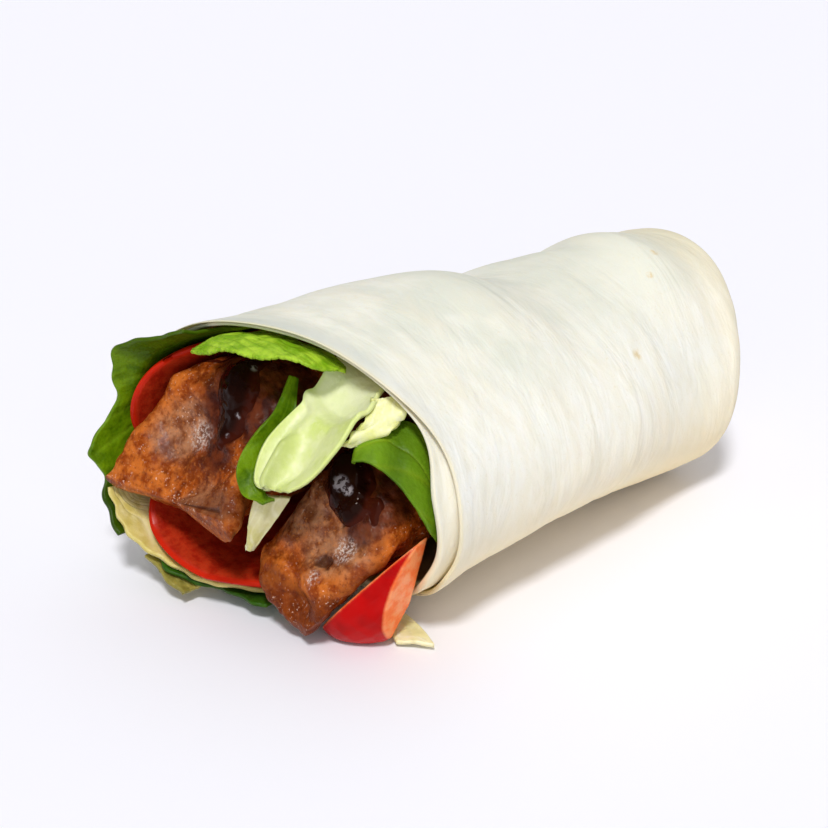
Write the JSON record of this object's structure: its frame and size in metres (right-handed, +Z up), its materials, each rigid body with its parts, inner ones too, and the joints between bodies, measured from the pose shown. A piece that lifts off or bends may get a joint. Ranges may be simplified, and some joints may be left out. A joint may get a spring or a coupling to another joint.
{
  "type": "cig kofte wrap",
  "caption": "Thin flatbread rolled round squeezed bulgur kofte, tomato, lettuce and green leaves, open at one end and tucked at the other.",
  "frame": {"origin": "on the flat of the roll's underside, midway along the bread", "axes": "+Z up; X runs along the roll, with the open mouth at -X and the tucked end at +X; +Y is the left side as seen looking in at the mouth"},
  "size_m": [0.1622, 0.0905, 0.0674],
  "materials": {
    "bread": "thin pale flatbread, dry and matt, with fine wrinkles, faint grey-green show-through and a few toasted spots",
    "kofte": "moist spiced bulgur paste, orange-brown, crumbly with a wet sheen",
    "molasses": "thick dark syrup, nearly black, very glossy",
    "tomato": "ripe tomato, smooth skin and wet cut faces",
    "green_leaf": "fresh green leaf, veined, slightly waxy",
    "dark_leaf": "dark green leaf, slightly waxy",
    "mint": "mint leaf, bright green, serrated and quilted between its veins",
    "lettuce": "pale crisp lettuce, translucent, with whitish ribs"
  },
  "bodies": {
    "root": {"flatbread": "bread", "kofte_left": "kofte", "kofte_right": "kofte", "tomato_slice_upper": "tomato", "tomato_slice_lower": "tomato", "tomato_wedge": "tomato", "leaf_left": "green_leaf", "leaf_under": "dark_leaf", "leaf_centre": "green_leaf", "leaf_right": "green_leaf", "mint_leaf": "mint", "lettuce_curl": "lettuce", "lettuce_frill": "lettuce", "lettuce_tab": "lettuce", "lettuce_sheet": "lettuce", "lettuce_scrap": "lettuce", "lettuce_strip": "lettuce"}
  },
  "joints": []
}
